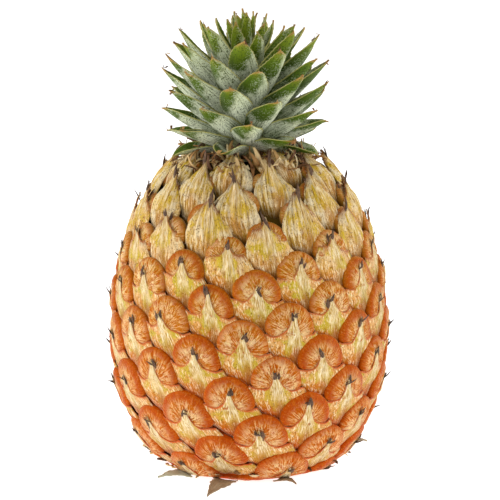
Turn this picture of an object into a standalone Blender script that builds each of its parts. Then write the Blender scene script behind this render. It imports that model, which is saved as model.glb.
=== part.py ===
"""A whole fresh pineapple with its leafy crown, standing on its small flat base.

Metres, +Z up. The origin is under the middle of the fruit, on the surface that it stands on.
Azimuths are in degrees from the front (-Y), positive towards +X.
"""

import math

import bmesh
import bpy
import numpy as np
from mathutils import Vector

MM = 0.001
GAP = 0.3 * MM  # clearance between pieces that touch on the real fruit
MERGE = 0.01 * MM

# Fruit body: two superellipses that meet at the widest level
FRUIT_RADIUS = 65.3 * MM
WIDEST_Z = 60.1 * MM
UPPER_HEIGHT = 88.2 * MM
UPPER_POWER = 2.2
LOWER_HEIGHT = 77.2 * MM
LOWER_POWER = 2.15
FRUIT_TOP_Z = 143.0 * MM
TOP_DISH_RADIUS = 23.0 * MM
TOP_DISH_DEPTH = 0.6 * MM
FOOT_Z = 2.0 * MM  # the rounded side ends here, and slopes in to the flat base
FOOT_RADIUS = 40.0 * MM
BODY_RINGS = 38
BODY_COLUMNS = 84

# Eyes (fruitlets), in one spiral from the base to the crown
EYE_TURN = 137.413
EYE_START = 189.45
EYE_FIRST_SHARE = 0.43  # the first eye's place on the spiral, in eyes
EYE_AREA_BASE = 647.0 * MM * MM
EYE_AREA_TOP = 312.0 * MM * MM
SPIRAL_TOP_Z = 146.0 * MM
EYE_LEAN = -0.071  # the rows of eyes climb towards -X
GROOVE_DEPTH = 4.2 * MM
GROOVE_FADE = 7.0 * MM
DOME_SPREAD = 0.40  # width of an eye's swelling, as a share of the root of its area
DOME_LOW = 0.34  # sum of the swellings in a groove, and on top of an eye
DOME_HIGH = 0.98

# Flat base and the end of the stalk in it
SOCKET_RADIUS = 14.3 * MM
SOCKET_DEPTH = 6.0 * MM
STALK_EDGE = 0.8 * MM
STALK_SIDES = 32

# Crown leaves, in one spiral from the neck to the heart
CROWN_X = -1.5 * MM
LEAF_PLACES = 56
LEAF_COUNT = 51
LEAF_TURN = 137.5
LEAF_START = 288.8
LEAF_THICKNESS = 1.1 * MM
LEAF_ROWS = 6
LEAF_BASE_Z = 144.3 * MM
LEAF_TOP_BASE_Z = 178.8 * MM
LEAF_REACH = 40.0 * MM
CROWN_LOW_Z = 142.8 * MM
CROWN_HEIGHT = 72.0 * MM
TIP_LOW_Z = 144.5 * MM
TIP_HIGH_Z = 211.4 * MM
LEAF_WIDTH = 17.0 * MM
LEAF_TIP_WIDTH = 1.0 * MM
LEAF_WRAP = 0.70  # most that half a leaf wraps round the crown, in radians
STEM_RADIUS = 15.0 * MM
STEM_CLEARANCE = 1.1 * MM
STEM_SIDES = 24
STEM_LEVELS = 9

# Heart of the crown: the youngest leaves, still rolled together
HEART_RADIUS = 4.2 * MM
HEART_SIDES = 12
HEART_BASE_Z = 180.0 * MM
HEART_TIP_Z = 213.4 * MM

# Dried bracts left round the base: name, azimuth, bearing, length and width
BRACT_ROOT_RADIUS = 45.8 * MM
BRACT_THICKNESS = 0.9 * MM
BRACT_ROWS = 4
BRACT_LIFT = 0.9 * MM
BASE_BRACTS = (
    ("base_bract_front", -13.0, -22.0, 22.0 * MM, 12.0 * MM),
    ("base_bract_left", -38.0, -75.0, 14.0 * MM, 11.0 * MM),
    ("base_bract_right", 17.0, 58.0, 9.0 * MM, 7.0 * MM),
    ("base_bract_back", 168.0, 160.0, 17.0 * MM, 11.0 * MM),
    ("base_bract_side", 102.0, 112.0, 14.0 * MM, 10.0 * MM),
)


def clear_scene():
    for obj in list(bpy.data.objects):
        bpy.data.objects.remove(obj, do_unlink=True)


def new_collection(name):
    collection = bpy.data.collections.new(name)
    bpy.context.scene.collection.children.link(collection)
    return collection


def new_material(name, colour, roughness):
    material = bpy.data.materials.new(name)
    material.use_nodes = True
    shader = material.node_tree.nodes["Principled BSDF"]
    shader.inputs["Base Color"].default_value = (*colour, 1.0)
    shader.inputs["Roughness"].default_value = roughness
    shader.inputs["Metallic"].default_value = 0.0
    material.diffuse_color = (*colour, 1.0)
    return material


def new_object(name, mesh, collection, material, parent):
    obj = bpy.data.objects.new(name, mesh)
    obj.data.materials.clear()
    obj.data.materials.append(material)
    obj.data.shade_smooth()
    obj.data.set_sharp_from_angle(angle=math.radians(50))
    obj.parent = parent
    collection.objects.link(obj)
    return obj


def outward(azimuth):
    """The level direction of an azimuth in radians."""
    return np.array([math.sin(azimuth), -math.cos(azimuth)])


def turned_mesh(name, profile, sides):
    """A closed turned mesh from (radius, height) points that run from the top to the bottom."""
    mesh = bpy.data.meshes.new(name + "_profile")
    points = [(radius, 0.0, height) for radius, height in profile]
    edges = [(index, index + 1) for index in range(len(points) - 1)]
    mesh.from_pydata(points, edges, [])
    turner = bpy.data.objects.new(name + "_profile", mesh)
    bpy.context.scene.collection.objects.link(turner)
    screw = turner.modifiers.new("turn", "SCREW")
    screw.axis = "Z"
    screw.steps = sides
    screw.render_steps = sides
    screw.use_merge_vertices = True
    screw.merge_threshold = MERGE
    graph = bpy.context.evaluated_depsgraph_get()
    turned = bpy.data.meshes.new_from_object(turner.evaluated_get(graph))
    turned.name = name
    bpy.data.objects.remove(turner, do_unlink=True)
    bpy.data.meshes.remove(mesh)
    return turned


# The fruit


def body_radius(height):
    """Radius over the eyes at a height, for numbers or arrays."""
    height = np.asarray(height, dtype=float)
    upper = np.clip((height - WIDEST_Z) / UPPER_HEIGHT, 0.0, 1.0)
    lower = np.clip((WIDEST_Z - height) / LOWER_HEIGHT, 0.0, 1.0)
    above = (1.0 - upper**UPPER_POWER) ** (1.0 / UPPER_POWER)
    below = (1.0 - lower**LOWER_POWER) ** (1.0 / LOWER_POWER)
    return FRUIT_RADIUS * np.where(height > WIDEST_Z, above, below)


def body_levels(top, bottom, count):
    """Heights from top down to bottom, equally spaced along the outline."""
    heights = np.linspace(bottom, top, 2000)
    radii = body_radius(heights)
    steps = np.hypot(np.diff(heights), np.diff(radii))
    along = np.concatenate([[0.0], np.cumsum(steps)])
    return np.interp(np.linspace(along[-1], 0.0, count), along, heights)


def body_normals(heights):
    """Outward (radial, vertical) unit normals of the outline."""
    step = 0.05 * MM
    slope = (body_radius(heights + step) - body_radius(heights - step)) / (2.0 * step)
    length = np.hypot(1.0, slope)
    return 1.0 / length, -slope / length


def eye_count():
    """Heights, and how many eyes there are below each: an eye holds its own share of the surface."""
    heights = np.linspace(0.0, SPIRAL_TOP_Z, 3000)
    radii = body_radius(heights)
    middle = 0.5 * (radii[1:] + radii[:-1])
    band = 2.0 * math.pi * middle * np.hypot(np.diff(heights), np.diff(radii))
    share = heights[:-1] / SPIRAL_TOP_Z
    area = EYE_AREA_BASE + (EYE_AREA_TOP - EYE_AREA_BASE) * share
    return heights, np.concatenate([[0.0], np.cumsum(band / area)])


def eye_centres():
    """Middle points of all the eyes."""
    heights, count = eye_count()
    eyes = np.arange(int(count[-1]))
    level = np.interp(eyes + EYE_FIRST_SHARE, count, heights)
    azimuth = np.radians(EYE_START + EYE_TURN * eyes)
    radius = body_radius(level)
    across = radius * np.sin(azimuth)
    return np.column_stack([across, -radius * np.cos(azimuth), level + EYE_LEAN * across])


def eye_relief(points, centres):
    """1 on top of an eye, falling to 0 in the grooves: the sum of one round swelling per eye."""
    share = centres[:, 2] / SPIRAL_TOP_Z
    spread = DOME_SPREAD * np.sqrt(EYE_AREA_BASE + (EYE_AREA_TOP - EYE_AREA_BASE) * share)
    apart = np.linalg.norm(points[:, None, :] - centres[None, :, :], axis=2)
    swelling = np.exp(-((apart / spread) ** 2)).sum(axis=1)
    return np.clip((swelling - DOME_LOW) / (DOME_HIGH - DOME_LOW), 0.0, 1.0)


def fruit_mesh():
    heights = body_levels(FRUIT_TOP_Z, FOOT_Z, BODY_RINGS)
    side = list(zip(body_radius(heights), heights))
    dish_z = FRUIT_TOP_Z - TOP_DISH_DEPTH
    top = [(0.0, dish_z), (TOP_DISH_RADIUS, dish_z)]
    foot = [(FOOT_RADIUS, 0.0), (SOCKET_RADIUS, 0.0)]
    socket = [(SOCKET_RADIUS, SOCKET_DEPTH), (0.0, SOCKET_DEPTH)]
    mesh = turned_mesh("fruit", top + side + foot + socket, BODY_COLUMNS)
    points = np.array([vertex.co[:] for vertex in mesh.vertices])
    radius = np.hypot(points[:, 0], points[:, 1])
    on_side = np.abs(radius - body_radius(points[:, 2])) < MERGE
    rise = eye_relief(points, eye_centres())
    ends = np.minimum(points[:, 2] - FOOT_Z, FRUIT_TOP_Z - points[:, 2])
    fade = np.clip(ends / GROOVE_FADE, 0.0, 1.0)
    sink = np.where(on_side, GROOVE_DEPTH * (1.0 - rise) * fade, 0.0)
    radial, vertical = body_normals(points[:, 2])
    safe = np.maximum(radius, MERGE)
    points[:, 0] -= sink * radial * points[:, 0] / safe
    points[:, 1] -= sink * radial * points[:, 1] / safe
    points[:, 2] -= sink * vertical
    mesh.vertices.foreach_set("co", points.ravel())
    mesh.update()
    return mesh


def build_fruit(collection, parent):
    skin = new_material("rind", (0.78, 0.36, 0.08), 0.55)
    return new_object("fruit", fruit_mesh(), collection, skin, parent)


def build_stalk(collection, parent):
    """The end of the stalk that carried the fruit, cut level with the base."""
    radius = SOCKET_RADIUS - GAP
    top = SOCKET_DEPTH - GAP
    edge = STALK_EDGE
    profile = [(0.0, top), (radius - edge, top), (radius, top - edge)]
    profile += [(radius, edge), (radius - edge, 0.0), (0.0, 0.0)]
    wood = new_material("dry_stalk", (0.42, 0.33, 0.20), 0.8)
    mesh = turned_mesh("cut_stem", profile, STALK_SIDES)
    return new_object("cut_stem", mesh, collection, wood, parent)


# The crown


def leaf_base(place):
    """Where a leaf leaves the crown's stem, as (radius, height). place runs from 0 to 1."""
    height = LEAF_BASE_Z + (LEAF_TOP_BASE_Z - LEAF_BASE_Z) * place
    return STEM_RADIUS * math.sqrt(1.0 - place**2.6), height


def leaf_tip(place):
    """The radius and height of a leaf's tip, and how far it climbs there, in radians."""
    rise = place + 0.41 * place * (1.0 - place)
    rise += 0.32 * place * (1.0 - place) * (1.0 - 2.0 * place)
    height = TIP_LOW_Z + (TIP_HIGH_Z - TIP_LOW_Z) * rise
    level = (height - CROWN_LOW_Z) / CROWN_HEIGHT
    radius = LEAF_REACH * (1.0 - 0.09 * (1.0 - level) ** 3) * math.sqrt(1.0 - level**5)
    climb = 48.0 - 78.0 * (1.0 - level) ** 5 + 42.0 * level**6
    return radius, height, math.radians(climb)


def leaf_line(place, along):
    """A point of a leaf's middle line as (radius, height): a curve bowed evenly on its chord."""
    base_r, base_z = leaf_base(place)
    tip_r, tip_z, climb = leaf_tip(place)
    chord = math.atan2(tip_z - base_z, tip_r - base_r)
    start = 2.0 * chord - climb
    reach = 0.36 * math.hypot(tip_r - base_r, tip_z - base_z)
    first = (base_r + reach * math.cos(start), base_z + reach * math.sin(start))
    second = (tip_r - reach * math.cos(climb), tip_z - reach * math.sin(climb))
    left = 1.0 - along
    weights = (left**3, 3 * left**2 * along, 3 * left * along**2, along**3)
    line = ((base_r, base_z), first, second, (tip_r, tip_z))
    return tuple(sum(w * point[axis] for w, point in zip(weights, line)) for axis in (0, 1))


def leaf_width(place, along):
    """Full width of a leaf: broad and nearly even, then drawn in to the tip."""
    size = LEAF_WIDTH * (0.80 + 0.20 * min(1.0, 4.0 * place))
    size *= 1.0 - 0.60 * max(0.0, (place - 0.78) / 0.22) ** 1.4
    return max(LEAF_TIP_WIDTH, size * (1.0 - along**2.1) ** 0.85)


def leaf_mesh(name, place, azimuth):
    """A sheet bent round the crown's axis, from its base on the stem to its tip."""
    sheet = bmesh.new()
    bmesh.ops.create_grid(sheet, x_segments=2, y_segments=LEAF_ROWS, size=1.0)
    for vertex in sheet.verts:
        along = 0.5 + 0.5 * vertex.co.y
        radius, height = leaf_line(place, along)
        half = min(LEAF_WRAP, 0.5 * leaf_width(place, along) / radius)
        direction = outward(azimuth + vertex.co.x * half)
        vertex.co = Vector((radius * direction[0], radius * direction[1], height))
    mesh = bpy.data.meshes.new(name)
    sheet.to_mesh(mesh)
    sheet.free()
    return mesh


def thicken(obj, thickness):
    solid = obj.modifiers.new("thickness", "SOLIDIFY")
    solid.thickness = thickness
    solid.offset = 0.0


def build_leaves(collection, parent):
    flesh = new_material("leaf", (0.25, 0.36, 0.14), 0.5)
    for number in range(LEAF_COUNT):
        place = number / (LEAF_PLACES - 1)
        azimuth = math.radians(LEAF_START + LEAF_TURN * number)
        name = f"crown_leaf_{number + 1:02d}"
        leaf = new_object(name, leaf_mesh(name, place, azimuth), collection, flesh, parent)
        thicken(leaf, LEAF_THICKNESS)


def build_crown_stem(collection, parent):
    """The short stem inside the crown, which all its leaves grow from."""
    low = FRUIT_TOP_Z - TOP_DISH_DEPTH + GAP
    places = [1.0 - level / (STEM_LEVELS - 1.0) for level in range(STEM_LEVELS)]
    side = [leaf_base(0.97 * place) for place in places]
    side = [(radius - STEM_CLEARANCE, height - STEM_CLEARANCE * 0.6) for radius, height in side]
    profile = [(0.0, side[0][1])] + side + [(side[-1][0], low), (0.0, low)]
    pith = new_material("crown_stem", (0.55, 0.55, 0.35), 0.7)
    mesh = turned_mesh("crown_stem", profile, STEM_SIDES)
    return new_object("crown_stem", mesh, collection, pith, parent)


def build_heart(collection, parent):
    """The youngest leaves, rolled round each other into one tapering bud."""
    levels = [0.0, 0.2, 0.5, 0.8, 1.0]
    side = []
    for level in levels:
        radius = HEART_RADIUS * (1.0 - 0.8 * (1.0 - level) ** 1.5)
        side.append((radius, HEART_TIP_Z + (HEART_BASE_Z - HEART_TIP_Z) * level))
    profile = [(0.0, HEART_TIP_Z)] + side + [(0.0, HEART_BASE_Z)]
    young = new_material("young_leaf", (0.45, 0.52, 0.18), 0.5)
    mesh = turned_mesh("crown_heart", profile, HEART_SIDES)
    return new_object("crown_heart", mesh, collection, young, parent)


# Dried bracts at the base


def bract_mesh(name, azimuth, bearing, length, width):
    """A dry pointed bract that leaves the foot of the fruit and lies out along the surface."""
    root = BRACT_ROOT_RADIUS * outward(azimuth)
    forward = outward(bearing)
    across = np.array([-forward[1], forward[0]])
    sheet = bmesh.new()
    bmesh.ops.create_grid(sheet, x_segments=2, y_segments=BRACT_ROWS, size=1.0)
    for vertex in sheet.verts:
        along = 0.5 + 0.5 * vertex.co.y
        half = 0.5 * max(LEAF_TIP_WIDTH, width * (1.0 - along**1.6))
        flat = root + forward * length * along + across * vertex.co.x * half
        flat *= max(1.0, BRACT_ROOT_RADIUS / np.linalg.norm(flat))
        lift = BRACT_LIFT + BRACT_LIFT * math.sin(math.pi * along)
        vertex.co = Vector((flat[0], flat[1], lift))
    mesh = bpy.data.meshes.new(name)
    sheet.to_mesh(mesh)
    sheet.free()
    return mesh


def build_base_bracts(collection, parent):
    dry = new_material("dry_bract", (0.36, 0.24, 0.14), 0.85)
    for name, azimuth, bearing, length, width in BASE_BRACTS:
        mesh = bract_mesh(name, math.radians(azimuth), math.radians(bearing), length, width)
        bract = new_object(name, mesh, collection, dry, parent)
        thicken(bract, BRACT_THICKNESS)


def main():
    clear_scene()
    pineapple = new_collection("pineapple")
    base = bpy.data.objects.new("base_centre", None)
    pineapple.objects.link(base)
    crown = bpy.data.objects.new("crown_axis", None)
    crown.location = (CROWN_X, 0.0, 0.0)
    crown.parent = base
    pineapple.objects.link(crown)
    build_fruit(pineapple, base)
    build_stalk(pineapple, base)
    build_base_bracts(pineapple, base)
    build_crown_stem(pineapple, crown)
    build_leaves(pineapple, crown)
    build_heart(pineapple, crown)


main()
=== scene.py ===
# %% [markdown]
# # A whole pineapple
# A pineapple is not one berry but over a hundred, grown together on one stalk. Each of them shows on the
# rind as an eye: a round cushion, with a dry leaf scale, the bract, folded up against it from below.
# The eyes and the crown's leaves all follow one spiral. So this file makes one eye and one leaf, and then
# lays them out along that spiral. It starts with the solid model, which sets every size and place.

# %% Load the solid model
import math

import bpy
import numpy as np
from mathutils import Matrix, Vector, noise


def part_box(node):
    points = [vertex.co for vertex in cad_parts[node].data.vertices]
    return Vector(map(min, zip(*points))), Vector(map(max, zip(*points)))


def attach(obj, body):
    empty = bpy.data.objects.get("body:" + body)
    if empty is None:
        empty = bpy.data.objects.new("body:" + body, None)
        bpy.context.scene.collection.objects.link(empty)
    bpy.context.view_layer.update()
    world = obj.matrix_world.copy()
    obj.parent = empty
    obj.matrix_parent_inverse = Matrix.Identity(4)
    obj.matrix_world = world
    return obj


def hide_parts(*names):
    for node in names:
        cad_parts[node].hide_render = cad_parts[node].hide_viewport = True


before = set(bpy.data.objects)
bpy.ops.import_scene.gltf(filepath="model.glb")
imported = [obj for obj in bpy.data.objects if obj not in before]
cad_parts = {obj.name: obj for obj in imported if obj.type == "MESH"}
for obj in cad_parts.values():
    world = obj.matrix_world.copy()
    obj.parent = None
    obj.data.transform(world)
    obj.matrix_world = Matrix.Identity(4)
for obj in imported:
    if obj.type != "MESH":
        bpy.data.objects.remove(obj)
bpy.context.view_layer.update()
bpy.ops.object.select_all(action="DESELECT")
MM = 0.001

# %% [markdown]
# ## The outline
# The fruit is a solid of revolution: two superellipses that meet at the widest level, cut flat at the foot.
# A lathe would be enough for that shape, but every eye has to bend with it. So the outline is kept as a path
# that any point can be laid on: how far round, how far along, and how far off the skin.

# %% The path of the outline, from the middle of the foot to the neck
fruit_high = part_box("fruit")[1]
stem_low, stem_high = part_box("crown_stem")
heart_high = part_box("crown_heart")[1]
FRUIT_RADIUS = 65.3 * MM
WIDEST_Z = 60.1 * MM
UPPER_HEIGHT, UPPER_POWER = 88.2 * MM, 2.2
LOWER_HEIGHT, LOWER_POWER = 77.2 * MM, 2.15
FOOT_Z = 2.0 * MM
FOOT_RADIUS = 40.0 * MM
SOCKET_RADIUS = 14.6 * MM
NECK_RADIUS = 10.0 * MM
NECK_Z = float(fruit_high[2]) + 1.3 * MM


def outline_radius(height):
    """Radius over the eyes at a height."""
    height = np.asarray(height, dtype=float)
    upper = np.clip((height - WIDEST_Z) / UPPER_HEIGHT, 0.0, 1.0)
    lower = np.clip((WIDEST_Z - height) / LOWER_HEIGHT, 0.0, 1.0)
    above = (1.0 - upper**UPPER_POWER) ** (1.0 / UPPER_POWER)
    below = (1.0 - lower**LOWER_POWER) ** (1.0 / LOWER_POWER)
    return FRUIT_RADIUS * np.where(height > WIDEST_Z, above, below)


side_z = np.linspace(FOOT_Z, NECK_Z, 1200)
path_z = np.concatenate([[0.0, 0.0], side_z, [NECK_Z + 0.3 * MM]])
path_r = np.concatenate([[SOCKET_RADIUS, FOOT_RADIUS], outline_radius(side_z), [NECK_RADIUS]])
path_length = np.concatenate([[0.0], np.cumsum(np.hypot(np.diff(path_r), np.diff(path_z)))])
side_start = path_length[2]
print("outline, mm:", np.round(path_length[-1] / MM, 1), "of which foot", np.round(side_start / MM, 1))

# %% Lay points on the outline
EVEN = np.linspace(0.0, path_length[-1], 1500)
even_r = np.interp(EVEN, path_length, path_r)
even_z = np.interp(EVEN, path_length, path_z)
SMOOTH = np.hanning(61) / np.hanning(61).sum()
turn_r = np.convolve(np.pad(np.gradient(even_r), 30, mode="edge"), SMOOTH, "valid")
turn_z = np.convolve(np.pad(np.gradient(even_z), 30, mode="edge"), SMOOTH, "valid")
turn_size = np.hypot(turn_r, turn_z)
normal_r, normal_z = turn_z / turn_size, -turn_r / turn_size


def on_fruit(azimuth, along, lift):
    """Points on the fruit: azimuth from the front (-Y) towards +X, along the outline, and off it."""
    radius = np.interp(along, EVEN, even_r) + lift * np.interp(along, EVEN, normal_r)
    height = np.interp(along, EVEN, even_z) + lift * np.interp(along, EVEN, normal_z)
    height = np.maximum(height, 0.0)
    return np.column_stack([radius * np.sin(azimuth), -radius * np.cos(azimuth), height])


# %% [markdown]
# ## The spiral of eyes
# Each new eye grows 137.4 degrees round from the one before, and takes its own share of the skin, large at
# the foot and small at the neck. That is all it takes: the slanting rows of 8 and 13 appear by themselves.
# The spiral starts under the edge of the foot. Where it stops, at the neck, small eyes fill the widest gaps.

# %% The eyes' places and sizes
EYE_TURN = 137.413
EYE_START = 189.45
EYE_FIRST_SHARE = 0.43
EYE_AREA_BASE, EYE_AREA_TOP = 647.0 * MM * MM, 312.0 * MM * MM
SPIRAL_TOP_Z = 146.0 * MM
EYE_LEAN = -0.071  # the rows climb towards -X
EYE_STANDARD = 22.0 * MM  # an eye of this width is modelled, and the others are scaled from it
FOOT_EYES, FOOT_BAND = 6, 20.0 * MM  # the spiral starts on the flat of the foot
NECK_FILLERS = 4
NECK_BAND, NECK_EDGE = 24.0 * MM, 8.0 * MM  # the fillers lie between these distances from the top


def spiral_eyes():
    """(azimuth, along, size) of every eye, from the edge of the foot up."""
    run = np.linspace(side_start - FOOT_BAND, path_length[-2], 3000)
    radii = np.interp(run, path_length, path_r)
    levels = np.interp(run, path_length, path_z)
    area = EYE_AREA_BASE + (EYE_AREA_TOP - EYE_AREA_BASE) * levels / SPIRAL_TOP_Z
    count = np.concatenate([[0.0], np.cumsum(2.0 * math.pi * radii[:-1] * np.diff(run) / area[:-1])])
    count -= np.interp(side_start, run, count)
    last = np.interp(NECK_Z - 1.0 * MM, levels, count)
    number = np.arange(-FOOT_EYES, int(last))
    along = np.interp(number + EYE_FIRST_SHARE, count, run)
    azimuth = np.radians(EYE_START + EYE_TURN * number)
    lean = EYE_LEAN * np.interp(along, run, radii) * np.sin(azimuth)
    size = np.sqrt(np.interp(along, run, area)) / EYE_STANDARD
    return np.column_stack([azimuth, along + lean, size])


def fill_gaps(eyes, count):
    """Adds small eyes where the last turn of the spiral leaves the widest gaps round the neck."""
    around = np.linspace(0.0, 2.0 * math.pi, 120, endpoint=False)
    near_neck = np.linspace(path_length[-1] - NECK_BAND, path_length[-1] - NECK_EDGE, 12)
    azimuth, along = np.meshgrid(around, near_neck)
    spots = on_fruit(azimuth.ravel(), along.ravel(), 0.0)
    for _ in range(count):
        homes = on_fruit(eyes[:, 0], eyes[:, 1], 0.0)
        nearest = np.linalg.norm(spots[:, None] - homes[None], axis=2).min(axis=1)
        best = int(np.argmax(nearest))
        print("gap of", round(float(nearest[best]) / MM, 1), "mm filled at", np.round(spots[best] / MM))
        eyes = np.vstack([eyes, [azimuth.ravel()[best], along.ravel()[best], nearest[best] / EYE_STANDARD]])
    return eyes


chance = np.random.default_rng(7)
eyes = fill_gaps(spiral_eyes(), NECK_FILLERS)
eyes[:, 1] += chance.normal(0.0, 0.35 * MM, len(eyes))
eyes[:, 2] *= 1.0 + chance.normal(0.0, 0.02, len(eyes))
eye_level = np.interp(eyes[:, 1], EVEN, even_z)
print("eyes:", len(eyes), "widths, mm:", np.round(eyes[[0, -1], 2] * EYE_STANDARD / MM, 1))


def lay_eye(points, eye):
    """Bends an eye's own points (across, up, off the skin) onto the fruit at its place."""
    azimuth, along, size = eye
    across, up, lift = points[:, 0] * size, points[:, 1] * size, points[:, 2]
    up = up + EYE_LEAN * math.cos(azimuth) * across
    there = along + up
    radius = np.maximum(np.interp(there, EVEN, even_r), SOCKET_RADIUS)
    return on_fruit(azimuth + across / radius, there, lift)


# %% [markdown]
# ## Helpers for pieces
# A template is modelled once. Its copies are then bent to their places and joined in one mesh, each
# with its own vertices. Values go in with them as attributes, such as a `tone` drawn for each copy, so that
# a material can make no two alike, or how `sunk` each vertex is, so that it can paint shade into the grooves.

# %% Take a template apart, and put copies together
def take_template(obj):
    """The vertices, faces and corner UVs of a template, which is then removed."""
    mesh = obj.data
    points = np.array([vertex.co[:] for vertex in mesh.vertices])
    faces = [tuple(face.vertices) for face in mesh.polygons]
    uv = np.array([corner.uv[:] for corner in mesh.uv_layers.active.data])
    bpy.data.objects.remove(obj, do_unlink=True)
    return points, faces, uv


def join_copies(name, copies, faces, uv, **values):
    """One object from many laid-out copies of a template.

    Each further value becomes an attribute. It has one entry for each copy: a number, or one for each vertex.
    """
    size = len(copies[0])
    every_face = [tuple(v + size * n for v in face) for n in range(len(copies)) for face in faces]
    mesh = bpy.data.meshes.new(name)
    mesh.from_pydata(np.vstack(copies).tolist(), [], every_face)
    layer = mesh.uv_layers.new(name="UVMap")
    layer.data.foreach_set("uv", np.tile(uv, (len(copies), 1)).ravel())
    for title, entries in values.items():
        spread = np.concatenate([np.broadcast_to(entry, size) for entry in entries])
        mesh.attributes.new(title, "FLOAT", "POINT").data.foreach_set("value", spread)
    mesh.shade_smooth()
    mesh.update()
    obj = bpy.data.objects.new(name, mesh)
    bpy.context.scene.collection.objects.link(obj)
    return obj


# painted shade in the grooves starts this far under the top of an eye, and is full this much deeper
SUNK_FROM, SUNK_DEPTH = -1.7 * MM, 2.0 * MM


def how_sunk(points):
    """0 for points near the top of an eye, 1 for points at the bottom of a groove."""
    return np.clip((SUNK_FROM - points[:, 2]) / SUNK_DEPTH, 0.0, 1.0)


def finish_piece(obj, material, slot, *nodes):
    """Gives a piece its finish, and ties it to the solid model."""
    obj.data.materials.clear()
    for each in material if isinstance(material, tuple) else (material,):
        obj.data.materials.append(each)
    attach(obj, "root")
    if nodes:
        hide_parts(*nodes)
    obj.data.calc_loop_triangles()
    print(obj.name, "triangles:", len(obj.data.loop_triangles))


LEAST_WALL = 0.12  # share of the thickness that is left where the group `thick` is 0


def solidify(obj, thickness, inner_slot=0):
    """Gives a sheet its thickness, under the side that faces out, as a finished mesh."""
    bpy.context.view_layer.objects.active = obj
    wall = obj.modifiers.new("wall", "SOLIDIFY")
    wall.thickness = thickness
    wall.material_offset = inner_slot
    if "thick" in obj.vertex_groups:
        wall.vertex_group = "thick"
        wall.thickness_vertex_group = LEAST_WALL
    bpy.ops.object.modifier_apply(modifier=wall.name)


def roughen(points, size, height, seed=0.0):
    """A smooth random amount for each point: features of that size, up to that height."""
    shift = Vector((seed, seed * 0.7, seed * 0.3))
    return np.array([height * noise.noise(Vector(p) / size + shift) for p in points])


# %% [markdown]
# ## Helpers for finishes
# Colours are picked as the eye sees them, in sRGB, and Blender wants them linear, so one function turns them.
# Another adds a node with its settings and its links in one line, and takes a node's main output by itself.
# Two more stack what a natural skin has in layers: fibres, hairs, dust and dirt, each with its own pattern.

# %% Colours and nodes
MIXED_COLOUR = 2  # the output of a Mix node that gives its colour
FINISH_IOR = 1.45  # plant wax, dry fibre and matt paint are all close to it


def linear(hex_colour):
    """A linear colour with alpha from an sRGB hex value such as "C8640F"."""
    parts = [int(hex_colour[i : i + 2], 16) / 255.0 for i in (0, 2, 4)]
    return tuple(c / 12.92 if c <= 0.04045 else ((c + 0.055) / 1.055) ** 2.4 for c in parts) + (1.0,)


def fill(tree, node, inputs):
    """Sets a node's inputs: to values, or to links from other nodes or from their sockets."""
    for name, value in inputs.items():
        if isinstance(value, bpy.types.Node):
            value = value.outputs[MIXED_COLOUR if value.bl_idname == "ShaderNodeMix" else 0]
        if isinstance(value, bpy.types.NodeSocket):
            tree.links.new(value, node.inputs[name])
        else:
            node.inputs[name].default_value = value


def add(tree, kind, inputs=None, stops=None, **settings):
    """A new node: its settings, its inputs, and the stops of its ramp as hex colours or as grey values."""
    node = tree.nodes.new("ShaderNode" + kind)
    for name, value in settings.items():
        setattr(node, name, value)
    fill(tree, node, inputs or {})
    if stops:
        ramp = node.color_ramp
        while len(ramp.elements) < len(stops):
            ramp.elements.new(1.0)
        for element, (place, colour) in zip(ramp.elements, stops):
            element.position = place
            element.color = linear(colour) if isinstance(colour, str) else (colour,) * 3 + (1.0,)
    return node


def lay_over(tree, colour, *layers):
    """Lays more colours over a colour, one after another.

    A layer has a pattern, two (value, strength) stops of it, the share that shows, and its colour.
    """
    for pattern, first, last, share, over in layers:
        strength = add(tree, "ValToRGB", {"Fac": pattern}, stops=[first, last])
        amount = add(tree, "Math", {0: strength, 1: share}, operation="MULTIPLY")
        colour = add(tree, "Mix", {0: amount, 6: colour, 7: linear(over)}, data_type="RGBA")
    return colour


def weigh(tree, start, *weighted):
    """Adds up patterns, each with its own weight, on top of a start."""
    for pattern, weight in weighted:
        start = add(tree, "Math", {0: pattern, 1: weight, 2: start}, operation="MULTIPLY_ADD")
    return start


def height_level(tree):
    """0 at the foot of the fruit and 1 at its neck."""
    place = add(tree, "TexCoord").outputs["Object"]
    height = add(tree, "SeparateXYZ", {0: place}).outputs[2]
    return add(tree, "Math", {0: height, 1: 1.0 / NECK_Z}, operation="MULTIPLY")


def paint_groove_shade(tree, colour, level):
    """Mixes painted groove shade into a finish, by how sunk a place is."""
    sunk = add(tree, "Attribute", attribute_name="sunk").outputs["Fac"]
    # painted shade: a dark colour for each height, darkest near the neck
    groove_shade = add(tree, "ValToRGB", {"Fac": level}, stops=[
        (0.0, "B84600"), (0.4, "B44C00"), (0.65, "8E4C00"), (0.85, "5C3C00"), (1.0, "3C2C08")])
    amount = add(tree, "Math", {0: sunk, 1: 0.85}, operation="MULTIPLY")
    return add(tree, "Mix", {0: amount, 6: colour, 7: groove_shade}, data_type="RGBA")


def new_finish(name, roughness):
    """A material with a Principled shader; returns it with its tree and shader."""
    material = bpy.data.materials.new(name)
    material.use_nodes = True
    tree = material.node_tree
    shader = tree.nodes["Principled BSDF"]
    fill(tree, shader, {"Roughness": roughness, "IOR": FINISH_IOR})
    return material, tree, shader


# %% [markdown]
# ## The finish of the eyes
# Living rind is a thin waxy skin over wet flesh. It is orange at the rim of each eye, redder at its very
# edge, and olive at the neck. The middle of each eye is worn pale, with short dry hairs that run out from
# it. Wax gives it a soft shine, the hairs take the shine away, and some light passes through the flesh. The
# pattern is drawn round the foot of each eye, from its UVs, because the hairs fan out from there.

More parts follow.
